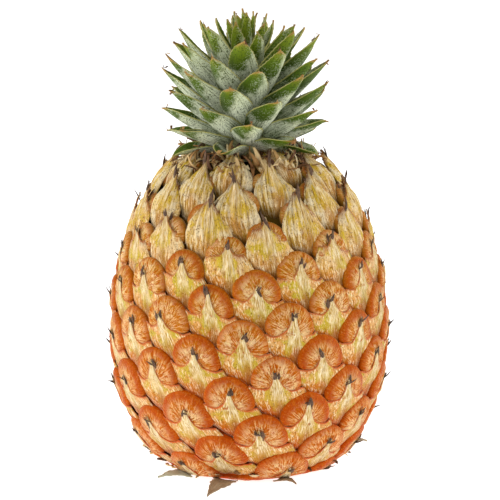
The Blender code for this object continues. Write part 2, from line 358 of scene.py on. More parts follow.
# %% Cushion skin
def make_cushion_skin():
    """Living rind: orange and softly shiny at the rim of an eye, dull with pale hairs in its middle."""
    material, tree, shader = new_finish("waxy_rind", 0.45)
    uv = add(tree, "UVMap", uv_map="UVMap")
    place = add(tree, "TexCoord").outputs["Object"]
    tone = add(tree, "Attribute", attribute_name="tone").outputs["Fac"]
    level = height_level(tree)
    centred = add(tree, "VectorMath", {0: uv, 1: (-0.5, -0.40, 0.0)}, operation="ADD")
    reach = add(tree, "VectorMath", {0: centred}, operation="LENGTH").outputs[1]
    across, up = add(tree, "SeparateXYZ", {0: centred}).outputs[:2]
    angle = add(tree, "Math", {0: up, 1: across}, operation="ARCTAN2")
    # hairs run out from the foot of the eye: 0.3 mm wide, drawn 0.6 mm wide to show, and 4 mm long
    ray = add(tree, "CombineXYZ", {0: angle, 1: reach, 2: tone})
    ray = add(tree, "VectorMath", {0: ray, 1: (7.0, 2.6, 30.0)}, operation="MULTIPLY")
    hair = add(tree, "TexNoise", {"Vector": ray, "Scale": 2.6, "Detail": 3.0, "Roughness": 0.7})
    patch = add(tree, "TexNoise", {"Vector": place, "Scale": 230.0, "Detail": 4.0, "Roughness": 0.65})
    # speckles of about 0.7 mm
    speck = add(tree, "TexNoise", {"Vector": place, "Scale": 1400.0, "Detail": 2.0, "Roughness": 0.7})
    share = add(tree, "Attribute", attribute_name="share").outputs["Fac"]
    rim = add(tree, "ValToRGB", {"Fac": level}, stops=[
        (0.0, "B84C00"), (0.1, "BC4E00"), (0.45, "B65400"),
        (0.65, "AE6000"), (0.82, "A07020"), (0.97, "8A7430")])
    ruddy = add(tree, "MapRange", {0: share, 1: 1.0, 2: 0.84, 3: 0.0, 4: 0.6})
    rim = add(tree, "Mix", {0: ruddy, 6: rim, 7: linear("A83800")}, data_type="RGBA")
    middle = add(tree, "ValToRGB", {"Fac": level}, stops=[
        (0.0, "C46000"), (0.4, "C06600"), (0.75, "B87810"), (1.0, "A08034")])
    # the pale middle reaches the rim in rays, further in some eyes than in others
    wander = weigh(tree, share, (patch, 0.60), (hair, 0.40), (speck, 0.40), (tone, 0.26))
    edge = add(tree, "MapRange", {0: wander, 1: 1.46, 2: 1.74}, interpolation_type="SMOOTHSTEP")
    skin = add(tree, "Mix", {0: edge, 6: middle, 7: rim}, data_type="RGBA")
    inner = add(tree, "MapRange", {0: wander, 1: 1.78, 2: 1.44})
    frost = weigh(tree, patch, (speck, 0.35))
    skin = lay_over(
        tree, skin,
        (hair, (0.50, 0.0), (0.64, 0.30), 1.0, "DC8828"),  # lighter rays all over
        (hair, (0.36, 0.45), (0.46, 0.0), 1.0, "9C3C00"),  # darker rays all over
        (speck, (0.57, 0.0), (0.68, 0.35), 1.0, "E0A860"),  # dust
        (hair, (0.50, 0.0), (0.64, 0.85), inner, "F0D094"),  # pale hairs in the middle
        (frost, (0.66, 0.0), (0.80, 0.75), inner, "EED09C"),  # worn patches
        (hair, (0.38, 0.85), (0.47, 0.0), inner, "B04404"),  # skin between the hairs
        (speck, (0.34, 0.7), (0.42, 0.0), inner, "94581C"),  # dirt
    )
    rough = add(tree, "MapRange", {0: edge, 3: 0.70, 4: 0.40})
    relief = add(tree, "Math", {0: hair, 1: speck}, operation="ADD")
    bump = add(tree, "Bump", {"Height": relief, "Strength": 0.7, "Distance": 0.5 * MM})
    # wet flesh under the skin lets orange light through, which warms the shadows between the eyes
    fill(tree, shader, {
        # painted shade where the skin lies deep in the grooves between the eyes
        "Base Color": paint_groove_shade(tree, skin, level),
        "Roughness": rough,
        "Normal": bump,
        "Subsurface Weight": 0.3,
        "Subsurface Radius": (1.0, 0.3, 0.08),
        "Subsurface Scale": 3.0 * MM,
        "Specular IOR Level": 0.05,
        "Sheen Weight": 0.5,
        "Sheen Roughness": 0.22,
        "Sheen Tint": linear("FFE0B8"),
    })
    return material


cushion_skin = make_cushion_skin()
print("finish:", cushion_skin.name)

# %% [markdown]
# ## The finish of the bracts
# A bract is a leaf scale that has half dried out. Its fibres run from its foot to its edge. It is cream and
# yellow-green where it is still alive, whitish on the keel, and pink-brown along its edge. Near the neck it
# is pleated and papery, bleached in places and dark brown at the tip, with painted highlight on the crests
# of its pleats and painted shade in their valleys. Its UVs follow the fibres, so a noise stretched along
# them draws each fibre without a face of its own.

# %% Bract skin
def make_bract_skin():
    """Half-dry leaf scale: fibrous and dull, with a pale keel and some yellow-green that is still alive."""
    material, tree, shader = new_finish("half_dry_bract", 0.62)
    uv = add(tree, "UVMap", uv_map="UVMap")
    place = add(tree, "TexCoord").outputs["Object"]
    tone = add(tree, "Attribute", attribute_name="tone").outputs["Fac"]
    shut = add(tree, "Attribute", attribute_name="shut").outputs["Fac"]
    pleat = add(tree, "Attribute", attribute_name="pleat").outputs["Fac"]
    level = height_level(tree)
    side, along = add(tree, "SeparateXYZ", {0: uv}).outputs[:2]
    fibre_at = add(tree, "CombineXYZ", {0: side, 1: along, 2: tone})
    fibre_at = add(tree, "VectorMath", {0: fibre_at, 1: (26.0, 3.6, 40.0)}, operation="MULTIPLY")
    # fibres 0.4 mm apart, drawn twice as coarse as they are
    fibre = add(tree, "TexNoise", {"Vector": fibre_at, "Scale": 1.8, "Detail": 3.0, "Roughness": 0.7})
    blotch = add(tree, "TexNoise", {"Vector": place, "Scale": 190.0, "Detail": 3.0})
    speck = add(tree, "TexNoise", {"Vector": place, "Scale": 1300.0, "Detail": 2.0, "Roughness": 0.7})
    off = add(tree, "Math", {0: side, 1: 0.5}, operation="SUBTRACT")
    off = add(tree, "Math", {0: off}, operation="ABSOLUTE")
    body = add(tree, "ValToRGB", {"Fac": along}, stops=[
        (0.0, "C84600"), (0.28, "CC6000"), (0.5, "CE8428"), (0.8, "DCA45C"), (1.0, "D48444")])
    papery = add(tree, "ValToRGB", {"Fac": along}, stops=[
        (0.0, "6E4A0C"), (0.2, "B48A30"), (0.45, "DCBC6C"), (0.75, "E6CA80"), (1.0, "9A6230")])
    body = add(tree, "Mix", {0: shut, 6: body, 7: papery}, data_type="RGBA")
    # painted shade in the valleys of the pleats, and painted highlight on their crests
    pleat_shade = add(tree, "MapRange", {0: pleat, 1: 0.35, 2: 0.0, 3: 0.0, 4: 0.75})
    body = add(tree, "Mix", {0: pleat_shade, 6: body, 7: linear("74440C")}, data_type="RGBA")
    pleat_highlight = add(tree, "MapRange", {0: pleat, 1: 0.65, 2: 0.95, 3: 0.0, 4: 0.7})
    body = add(tree, "Mix", {0: pleat_highlight, 6: body, 7: linear("FAE8B8")}, data_type="RGBA")
    # papery hoods are bleached in places
    bleached = add(tree, "MapRange", {0: blotch, 1: 0.50, 2: 0.38, 3: 0.0, 4: 0.75})
    bleached = add(tree, "Math", {0: bleached, 1: shut}, operation="MULTIPLY")
    body = add(tree, "Mix", {0: bleached, 6: body, 7: linear("ECE0C0")}, data_type="RGBA")
    fresh = add(tree, "ValToRGB", {"Fac": level}, stops=[
        (0.0, "CC9A38"), (0.3, "CCA63C"), (0.6, "C0A834"), (0.85, "D8B43C"), (1.0, "DCB83C")])
    # living yellow flesh shows on both sides of the keel, above grey fuzz that covers the foot
    beside = add(tree, "MapRange", {0: off, 1: 0.04, 2: 0.32, 3: 0.20, 4: -0.12})
    higher = add(tree, "MapRange", {0: along, 1: 0.20, 2: 0.60, 3: -0.16, 4: 0.08})
    alive = add(tree, "Math", {0: blotch, 1: beside}, operation="ADD")
    alive = add(tree, "Math", {0: alive, 1: higher}, operation="ADD")
    alive = add(tree, "MapRange", {0: alive, 1: 0.48, 2: 0.60})
    skin = add(tree, "Mix", {0: alive, 6: body, 7: fresh}, data_type="RGBA")
    foot = add(tree, "MapRange", {0: along, 1: 0.52, 2: 0.30})
    central = add(tree, "MapRange", {0: off, 1: 0.26, 2: 0.10})
    fuzzy = add(tree, "Math", {0: foot, 1: central}, operation="MULTIPLY")
    greyed = add(tree, "Mix", {0: fuzzy, 6: skin, 7: linear("B88440")}, data_type="RGBA")
    calm = add(tree, "MapRange", {0: alive, 3: 0.0, 4: 0.04})
    thread = add(tree, "Math", {0: fibre, 1: calm}, operation="ADD")
    bright = add(tree, "Math", {0: calm, 1: -2.0, 2: thread}, operation="MULTIPLY_ADD")
    skin = lay_over(
        tree, greyed,
        (thread, (0.35, 0.75), (0.42, 0.0), 1.0, "8A4400"),  # dry brown fibres
        (bright, (0.525, 0.0), (0.59, 0.95), 1.0, "F4DEB0"),  # pale fibres
        (speck, (0.36, 0.7), (0.42, 0.0), 1.0, "704408"),  # dirt
    )
    # the keel is pale where it lies on the cushion
    keel = add(tree, "MapRange", {0: off, 1: 0.22, 2: 0.12}, interpolation_type="SMOOTHSTEP")
    raised = add(tree, "MapRange", {0: along, 1: 0.42, 2: 0.62})
    keel = add(tree, "Math", {0: keel, 1: raised}, operation="MULTIPLY")
    pile = add(tree, "ValToRGB", {"Fac": fibre}, stops=[
        (0.36, "A06820"), (0.43, "D0A860"), (0.50, "E8CC94"), (0.59, "FAECC8")])
    keel = add(tree, "Math", {0: keel, 1: 0.9}, operation="MULTIPLY")
    skin = add(tree, "Mix", {0: keel, 6: skin, 7: pile}, data_type="RGBA")
    last = add(tree, "MapRange", {0: along, 1: 0.93, 2: 0.99}, interpolation_type="SMOOTHSTEP")
    apart = add(tree, "MapRange", {0: off, 1: 0.08, 2: 0.16})
    last = add(tree, "Math", {0: last, 1: apart}, operation="MULTIPLY")
    pink = add(tree, "ValToRGB", {"Fac": level}, stops=[(0.0, "CC5424"), (0.5, "CC6C38"), (1.0, "A87440")])
    skin = add(tree, "Mix", {0: last, 6: skin, 7: pink}, data_type="RGBA")
    # near the neck the gathered ends have dried brown
    ends = add(tree, "MapRange", {0: along, 1: 0.84, 2: 0.97})
    ends = add(tree, "Math", {0: ends, 1: shut}, operation="MULTIPLY")
    ends = add(tree, "Math", {0: ends, 1: 0.8}, operation="MULTIPLY")
    skin = add(tree, "Mix", {0: ends, 6: skin, 7: linear("7E4E26")}, data_type="RGBA")
    relief = add(tree, "Math", {0: fibre, 1: 1.6, 2: speck}, operation="MULTIPLY_ADD")
    bump = add(tree, "Bump", {"Height": relief, "Strength": 0.6, "Distance": 0.6 * MM})
    fill(tree, shader, {
        # painted shade where the bract lies deep in the grooves between the eyes
        "Base Color": paint_groove_shade(tree, skin, level),
        "Normal": bump,
        "Specular IOR Level": 0.05,
        "Sheen Weight": 0.8,
        "Sheen Roughness": 0.25,
        "Sheen Tint": linear("FFE8C8"),
    })
    return material


bract_skin = make_bract_skin()
print("finish:", bract_skin.name)

# %% [markdown]
# ## Dry brown tips
# The point of each bract, and the withered flower on each eye, have dried to dark brown scraps. They are
# dull, mottled in lighter and darker browns.

# %% Withered finish
def make_withered():
    """Dead flower and leaf tip, shrivelled: dark brown, dull and rough."""
    material, tree, shader = new_finish("withered_tip", 0.8)
    place = add(tree, "TexCoord").outputs["Object"]
    grain = add(tree, "TexNoise", {"Vector": place, "Scale": 900.0, "Detail": 4.0, "Roughness": 0.7})
    brown = add(tree, "ValToRGB", {"Fac": grain}, stops=[
        (0.25, "241812"), (0.45, "4A3424"), (0.6, "6B4E36"), (0.75, "957655")])
    bump = add(tree, "Bump", {"Height": grain, "Strength": 0.6, "Distance": 0.3 * MM})
    fill(tree, shader, {"Base Color": brown, "Normal": bump})
    return material


withered = make_withered()
print("finish:", withered.name)

# %% [markdown]
# ## Dry paper
# The smallest bracts, at the neck and under the foot, are dead and thin as paper. One finish serves both,
# in two sets of colours: straw where the air has dried them, and grey where they were damp for longer.

# %% Papery finish
def make_papery(name, colours):
    """Dried bract, thin as paper: dull and streaked along its length, each scrap in its own tone."""
    material, tree, shader = new_finish(name, 0.85)
    uv = add(tree, "UVMap", uv_map="UVMap")
    tone = add(tree, "Attribute", attribute_name="tone").outputs["Fac"]
    stretch = add(tree, "VectorMath", {0: uv, 1: (14.0, 2.0, 1.0)}, operation="MULTIPLY")
    grain = add(tree, "TexNoise", {"Vector": stretch, "Scale": 1.5, "Detail": 4.0})
    mixed = add(tree, "Math", {0: grain, 1: 0.6, 2: tone}, operation="MULTIPLY_ADD")
    mixed = add(tree, "Math", {0: mixed, 1: 0.3}, operation="SUBTRACT")
    colour = add(tree, "ValToRGB", {"Fac": mixed}, stops=colours)
    bump = add(tree, "Bump", {"Height": grain, "Strength": 0.5, "Distance": 0.3 * MM})
    fill(tree, shader, {"Base Color": colour, "Normal": bump})
    return material


fringe_paper = make_papery("straw_dry_bract", [
    (0.1, "5A3A22"), (0.4, "9A6A38"), (0.7, "C9A468"), (1.0, "E2CFA2")])
base_paper = make_papery("grey_dry_bract", [
    (0.1, "4A3424"), (0.45, "8A6A48"), (0.75, "A8967A"), (1.0, "B4B298")])
print("finishes:", fringe_paper.name, base_paper.name)

# %% [markdown]
# ## The skin in the grooves
# Under and between the eyes is one closed body. Only its colour shows, deep down: bright orange that turns
# olive near the neck. A sphere is a good start for it, because it is closed at both poles.

# %% Groove finish
def make_groove_skin():
    """Young rind that never sees the sun: deep orange, darker and greener near the neck."""
    material, tree, shader = new_finish("rind_in_the_grooves", 0.85)
    place = add(tree, "TexCoord").outputs["Object"]
    level = height_level(tree)
    patch = add(tree, "TexNoise", {"Vector": place, "Scale": 300.0, "Detail": 4.0})
    shade = add(tree, "Math", {0: patch, 1: 0.16, 2: level}, operation="MULTIPLY_ADD")
    colour = add(tree, "ValToRGB", {"Fac": shade}, stops=[
        (0.0, "7A3A08"), (0.07, "B84400"), (0.4, "AC4A00"),
        (0.7, "844800"), (0.9, "503A08"), (1.0, "40300E")])
    bump = add(tree, "Bump", {"Height": patch, "Strength": 0.4, "Distance": 0.5 * MM})
    fill(tree, shader, {"Base Color": colour, "Normal": bump, "Specular IOR Level": 0.1})
    return material


groove_skin = make_groove_skin()
print("finish:", groove_skin.name)

# %% Body under the eyes
GROOVE_SINK = 4.6 * MM
SOCKET_TOP = 6.0 * MM
SOCKET_SHARE = 0.06  # the lowest rings of the sphere turn in, round the stalk
bpy.ops.mesh.primitive_uv_sphere_add(segments=120, ring_count=90, radius=1.0)
core = bpy.context.object
core.name = "fruit_body"
core_points = np.array([vertex.co[:] for vertex in core.data.vertices])
core_share = np.arccos(np.clip(-core_points[:, 2], -1.0, 1.0)) / math.pi  # 0 at the foot, 1 at the neck
core_azimuth = np.arctan2(core_points[:, 0], -core_points[:, 1])
inside = np.clip((core_share - SOCKET_SHARE) / (1.0 - SOCKET_SHARE), 0.0, 1.0) * path_length[-1]
foot_fade = np.clip((inside - side_start + 6.0 * MM) / (12.0 * MM), 0.1, 1.0)
core_laid = on_fruit(core_azimuth, inside, -GROOVE_SINK * foot_fade)
socket = core_share < SOCKET_SHARE
socket_turn = core_share[socket] / SOCKET_SHARE
core_laid[socket, :2] = core_laid[socket, :2] * np.minimum(1.0, 2.0 * socket_turn)[:, None]
core_laid[socket, 2] = SOCKET_TOP * np.clip(2.0 - 2.0 * socket_turn, 0.0, 1.0)
neck = core_share > 0.999
core_laid[neck, :2] = 0.0
core.data.vertices.foreach_set("co", core_laid.ravel())
core.data.shade_smooth()
finish_piece(core, groove_skin, "rind", "fruit")

# %% [markdown]
# ## The cushion of an eye
# Each eye swells into a round cushion, a little wider than it is tall, with a fold at the bottom where the
# bract's keel presses into it. A sphere gives the swelling and the rim that tucks under. It is cut off
# below, then flattened and notched.

# %% One cushion
CUSHION_WIDTH = 11.9 * MM  # half widths and reaches, from the middle of the arch
CUSHION_UP, CUSHION_DOWN = 12.1 * MM, 5.4 * MM
CUSHION_MIDDLE = -3.6 * MM
CUSHION_RIM = -2.9 * MM
CUSHION_TOP = 0.1 * MM
CUSHION_ROOT = -5.2 * MM
RING_SPREAD = 0.66


def cushion_edge(angle):
    """Distance from the middle of the arch to its edge, and how strong the fold is there."""
    side, up = np.cos(angle), np.sin(angle)
    squareness = np.where(up > 0, 2.0, 2.7)
    reach = np.where(up > 0, CUSHION_UP, CUSHION_DOWN)
    oval = (np.abs(side) / CUSHION_WIDTH) ** squareness + (np.abs(up) / reach) ** squareness
    edge = oval ** (-1.0 / squareness)
    fold = np.exp(-(((angle + math.pi / 2) / 0.30) ** 2))
    return edge * (1.0 - 0.25 * fold), fold


def cushion_lift(across, up):
    """Height of a cushion's skin over the middle of an eye's own frame."""
    angle = np.arctan2(up - CUSHION_MIDDLE, across)
    edge, fold = cushion_edge(angle)
    share = np.clip(np.hypot(across, up - CUSHION_MIDDLE) / edge, 0.0, 1.0)
    swell = np.sqrt(1.0 - share ** (2.0 / RING_SPREAD)) ** 0.62
    lift = CUSHION_RIM + (CUSHION_TOP - CUSHION_RIM) * swell
    lift -= 0.55 * MM * np.exp(-((share / 0.45) ** 2))
    lift -= 1.3 * MM * np.clip((-6.2 * MM - up) / (2.6 * MM), 0.0, 1.0)
    return lift + 0.04 * up - 0.6 * MM * fold * share**2


bpy.ops.mesh.primitive_uv_sphere_add(segments=34, ring_count=18, radius=1.0)
cushion = bpy.context.object
bpy.ops.object.mode_set(mode="EDIT")
bpy.ops.mesh.select_all(action="SELECT")
bpy.ops.mesh.bisect(plane_co=(0, 0, -0.6), plane_no=(0, 0, 1), clear_inner=True, use_fill=True)
bpy.ops.object.mode_set(mode="OBJECT")
ball, cushion_faces, cushion_uv = take_template(cushion)
round_angle = np.arctan2(ball[:, 1], ball[:, 0])
cushion_share = np.hypot(ball[:, 0], ball[:, 1]) ** RING_SPREAD  # 0 in the middle, 1 at the edge
reach = cushion_share * cushion_edge(round_angle)[0]
cushion_share[ball[:, 2] < 0.0] = 1.0
cushion_points = np.zeros_like(ball)
cushion_points[:, 0] = reach * np.cos(round_angle)
cushion_points[:, 1] = CUSHION_MIDDLE + reach * np.sin(round_angle)
over = cushion_lift(cushion_points[:, 0], cushion_points[:, 1])
under = CUSHION_RIM + (CUSHION_RIM - CUSHION_ROOT) * ball[:, 2] / 0.6
cushion_points[:, 2] = np.where(ball[:, 2] > 0.001, over, under)
print("cushion: vertices", len(cushion_points), "faces", len(cushion_faces))

# %% Cushion UVs follow the cushion's own plan
corner_vertices = np.concatenate([np.array(face) for face in cushion_faces])
plan = cushion_points[corner_vertices]
cushion_uv = 0.5 + 0.5 * np.column_stack([plan[:, 0], plan[:, 1] - CUSHION_MIDDLE]) / CUSHION_WIDTH

# %% All the cushions
BARE_LOW, BARE_HIGH = 102.0 * MM, 136.0 * MM  # the bracts close over the eyes between these heights
cover = np.clip((eye_level - BARE_LOW) / (BARE_HIGH - BARE_LOW), 0.0, 1.0)
PLEATED_FROM = 0.15
cushions, cushion_sunk = [], []
for index, eye in enumerate(eyes):
    points = cushion_points.copy()
    points[:, :2] *= 1.0 - 0.16 * cover[index]
    points[:, 1] += 1.5 * MM * cover[index]
    points[:, 2] += roughen(points, 4.0 * MM, 0.5 * MM, seed=3.1 * index)
    points[:, 2] += roughen(points, 1.4 * MM, 0.22 * MM, seed=5.3 * index)
    cushion_sunk.append(how_sunk(points))
    cushions.append(lay_eye(points, eye))
eye_tone = chance.random(len(eyes))
cushion_piece = join_copies(
    "eye_cushions", cushions, cushion_faces, cushion_uv,
    tone=eye_tone, sunk=cushion_sunk, share=[cushion_share] * len(eyes),
)
finish_piece(cushion_piece, cushion_skin, "rind")

# %% [markdown]
# ## The bract of an eye
# A bract spreads like a fan from its foot, deep between the eyes below. Its edge dips on both sides of a
# keel, and the keel climbs over the cushion and ends in a point. Near the neck the fans close over the
# cushions and become pleated hoods. A flat grid is the natural start: one direction runs across the fan,
# and the other along its fibres. The hoods get a finer grid, which their pleats need.

# %% One bract
FAN_LEAN = 3.8 * MM  # a fan's foot lies a little to the right, in the gap between the two eyes below
FAN_FOOT_Y, FAN_EDGE_Y = -24.0 * MM, -7.6 * MM
FAN_FOOT_HALF, FAN_EDGE_HALF = 8.0 * MM, 12.6 * MM
HOOD_FOOT_Y, HOOD_TIP_Y = -23.5 * MM, 2.5 * MM
HOOD_LEAN, HOOD_TIP_HALF = 3.0 * MM, 2.4 * MM
HOOD_SWELL = 8.8 * MM  # how far a hood's sides bulge, half way up
PLEATS = 4.5
BRACT_THICKNESS = 0.45 * MM


def make_fan(columns, rows):
    """A flat grid, denser near the keel: side from -1 to 1 and along from 0 to 1, then its faces and UVs."""
    bpy.ops.mesh.primitive_grid_add(x_subdivisions=columns, y_subdivisions=rows, size=2.0)
    points, faces, uv = take_template(bpy.context.object)
    side = np.sign(points[:, 0]) * np.abs(points[:, 0]) ** 1.35
    return side, 0.5 + 0.5 * points[:, 1], faces, uv


def wander_along(values, step, seed):
    """Smooth noise for each value, with features of that step."""
    return np.array([noise.noise(Vector((value / step, seed, 0.0))) for value in values])


def shape_bract(side, along, covering, lopsided, keel_length, sway, seed):
    """A bract in an eye's own frame, how shut it is at each vertex (0 to 1), and its pleats (0 to 1)."""
    away = np.abs(side)
    shut = np.clip(covering * (1.1 + lopsided * side), 0.0, 1.0)
    ridge = np.exp(-((away / 0.25) ** 1.5))
    wave = wander_along(side, 0.33, seed)
    frayed = wander_along(side, 0.06, seed + 9.0) * np.clip(8.0 * along - 7.0, 0.0, 1.0)
    # open: from a short foot to a margin with two dips and the keel between them
    foot_x = FAN_LEAN + FAN_FOOT_HALF * side
    foot_y = FAN_FOOT_Y + 2.5 * MM * away**2
    edge_x = FAN_EDGE_HALF * side * (1.0 - 0.45 * ridge) + sway * ridge
    edge_y = FAN_EDGE_Y + 2.0 * MM * away**2.5 + keel_length * ridge + 1.1 * MM * wave + 0.7 * MM * frayed
    open_x = foot_x + (edge_x - foot_x) * along + 3.6 * MM * side * np.sin(math.pi * along)
    open_y = foot_y + (edge_y - foot_y) * along
    open_lift = -4.3 * MM + 3.6 * MM * along**0.7 - 0.8 * MM * away**3 + 1.0 * MM * ridge * along**2
    # shut: a pleated hood with a gathered tip
    fold = np.cos(2.0 * math.pi * PLEATS * (side + 0.16 * wander_along(side, 0.4, seed + 5.0)) + seed)
    hood_x = HOOD_LEAN + FAN_FOOT_HALF * side + 1.6 * sway * np.sin(math.pi * along)
    hood_tip_y = HOOD_TIP_Y + keel_length - 5.0 * MM * away**1.5 + 1.6 * MM * frayed
    shut_x = hood_x + (HOOD_TIP_HALF * side + sway - hood_x) * along
    shut_x += HOOD_SWELL * side * np.sin(math.pi * along**0.8)
    shut_x += 1.3 * MM * wander_along(along + side, 0.12, seed) * np.clip(6.0 * away - 5.0, 0.0, 1.0)
    shut_y = HOOD_FOOT_Y + (hood_tip_y - HOOD_FOOT_Y) * along
    shut_lift = -4.6 * MM + 6.0 * MM * np.sin(0.5 * math.pi * np.clip(along / 0.6, 0.0, 1.0))
    shut_lift -= 2.2 * MM * away**2.2
    shut_lift += (0.75 * fold * np.sin(math.pi * along**1.4) + 1.1 * ridge * along) * MM
    shut_lift += 3.2 * MM * along**5 * (1.0 - 0.6 * away)
    across = open_x + (shut_x - open_x) * shut
    up = open_y + (shut_y - open_y) * shut
    lift = open_lift + (shut_lift - open_lift) * shut
    on_skin = cushion_lift(across, up) + (0.25 + 0.55 * ridge) * MM
    on_top = np.clip((along - 0.55) / 0.15, 0.0, 1.0) * np.maximum(ridge**0.3, shut)
    lift = lift + np.maximum(on_skin - lift, 0.0) * on_top
    return np.column_stack([across, up, lift]), shut, 0.5 + 0.5 * fold * shut * (1.0 - along**6)


# %% All the bracts
SHORTEST_KEEL, LONGEST_KEEL, LONGEST_HOOD_KEEL = 8.0 * MM, 13.5 * MM, 12.0 * MM
keel_ends = np.zeros((len(eyes), 3))
for name, chosen, grid in (
    ("eye_bracts", np.flatnonzero(cover <= PLEATED_FROM), (22, 12)),
    ("neck_bracts", np.flatnonzero(cover > PLEATED_FROM), (44, 16)),
):
    side, along, fan_faces, fan_uv = make_fan(*grid)
    keel_end = int(np.argmin(np.abs(side) + np.abs(along - 1.0)))
    laid, sunk, shuts, pleats = [], [], [], []
    for index in chosen:
        keel_length = chance.uniform(SHORTEST_KEEL, LONGEST_HOOD_KEEL if cover[index] > 0.5 else LONGEST_KEEL)
        sway = chance.normal(-0.3, 1.5) * MM
        lopsided = chance.uniform(-0.7, 0.7)
        points, shut, pleat = shape_bract(side, along, cover[index], lopsided, keel_length, sway, 1.7 * index)
        points[:, 2] += roughen(points, 3.0 * MM, 0.45 * MM, seed=2.3 * index)
        keel_ends[index] = points[keel_end]
        sunk.append(how_sunk(points))
        shuts.append(shut)
        pleats.append(pleat)
        laid.append(lay_eye(points, eyes[index]))
    piece = join_copies(
        name, laid, fan_faces, fan_uv, tone=eye_tone[chosen], sunk=sunk, shut=shuts, pleat=pleats
    )
    solidify(piece, BRACT_THICKNESS)
    finish_piece(piece, bract_skin, "rind")

# %% [markdown]
# ## Withered points
# Each keel ends in a dark dry point that stands off the fruit, with a smaller one beside it, and a withered
# flower lies on each cushion. A cone with a few rings bends well, and a few dozen faces are enough for each.

# %% One point
bpy.ops.mesh.primitive_cone_add(vertices=6, radius1=1.0, radius2=0.1, depth=1.0, location=(0, 0, 0.5))
point = bpy.context.object
bpy.ops.object.mode_set(mode="EDIT")
bpy.ops.mesh.select_all(action="DESELECT")
bpy.ops.object.mode_set(mode="OBJECT")
for edge in point.data.edges:
    ends = [point.data.vertices[v].co.z for v in edge.vertices]
    edge.select = abs(ends[0] - ends[1]) > 0.5
bpy.ops.object.mode_set(mode="EDIT")
bpy.ops.mesh.subdivide(number_cuts=4)
bpy.ops.object.mode_set(mode="OBJECT")
spike, spike_faces, spike_uv = take_template(point)
print("point: vertices", len(spike), "faces", len(spike_faces))


def shape_point(start, length, width, lean, side, curl):
    """A bent flat point that starts at start, in an eye's own frame."""
    along = spike[:, 2]
    swell = np.sin(math.pi * np.clip(0.25 + 0.75 * along, 0.0, 1.0)) ** 0.7 + 0.06
    across = spike[:, 0] * width * swell
    depth = spike[:, 1] * 0.45 * width * swell
    slope = lean + curl * along
    up = start[1] + length * along * np.cos(slope)
    lift = start[2] + length * along * np.sin(slope) + depth
    return np.column_stack([start[0] + across + side * length * along, up, lift])


# %% All the points
POINT_WIDTH = 2.3 * MM
points_laid = []
for index, eye in enumerate(eyes):
    end = keel_ends[index]
    base = np.array([end[0], end[1] - 2.4 * MM, end[2] - 0.5 * MM])
    length, lean = chance.uniform(5.5, 9.5) * (1.0 + 0.3 * cover[index]) * MM, chance.uniform(0.4, 1.0)
    side, curl = chance.normal(0.0, 0.18), chance.uniform(-0.5, 0.5)
    points_laid.append(lay_eye(shape_point(base, length, POINT_WIDTH, lean, side, curl), eye))
    # the withered flower lies on the cushion beside the keel
    aside = chance.choice([-1.0, 1.0]) * chance.uniform(0.7, 1.9) * MM
    low = end[1] - chance.uniform(0.5, 4.0) * MM
    flower = np.array([end[0] + aside, low, float(cushion_lift(end[0] + aside, low)) + 0.4 * MM])
    length, width = chance.uniform(4.0, 6.5) * MM, chance.uniform(1.4, 2.4) * MM
    lean, curl = chance.uniform(0.05, 0.3), chance.uniform(-0.2, 0.4)
    points_laid.append(lay_eye(shape_point(flower, length, width, lean, chance.normal(0.0, 0.2), curl), eye))
    fork = base + np.array([chance.normal(0.0, 0.6), chance.uniform(0.0, 1.5), 0.0]) * MM
    length, width = chance.uniform(3.5, 6.0) * MM, chance.uniform(1.0, 1.6) * MM
    lean, curl = chance.uniform(0.3, 1.2), chance.uniform(-0.8, 0.8)
    points_laid.append(lay_eye(shape_point(fork, length, width, lean, chance.normal(0.0, 0.5), curl), eye))
point_piece = join_copies("withered_points", points_laid, spike_faces, spike_uv, tone=np.repeat(eye_tone, 3))
finish_piece(point_piece, withered, "dry_bract")

# %% [markdown]
# ## The finish of the crown's leaves
# A pineapple leaf is thick and waxy. Its underside wears a white bloom of tiny scales, drawn in fine
# lengthwise lines, and where the bloom has been rubbed off the dark green shows. Its upper side is plain
# glossy green. The margins are yellow-green, the foot is pale, and the tip is dried out.

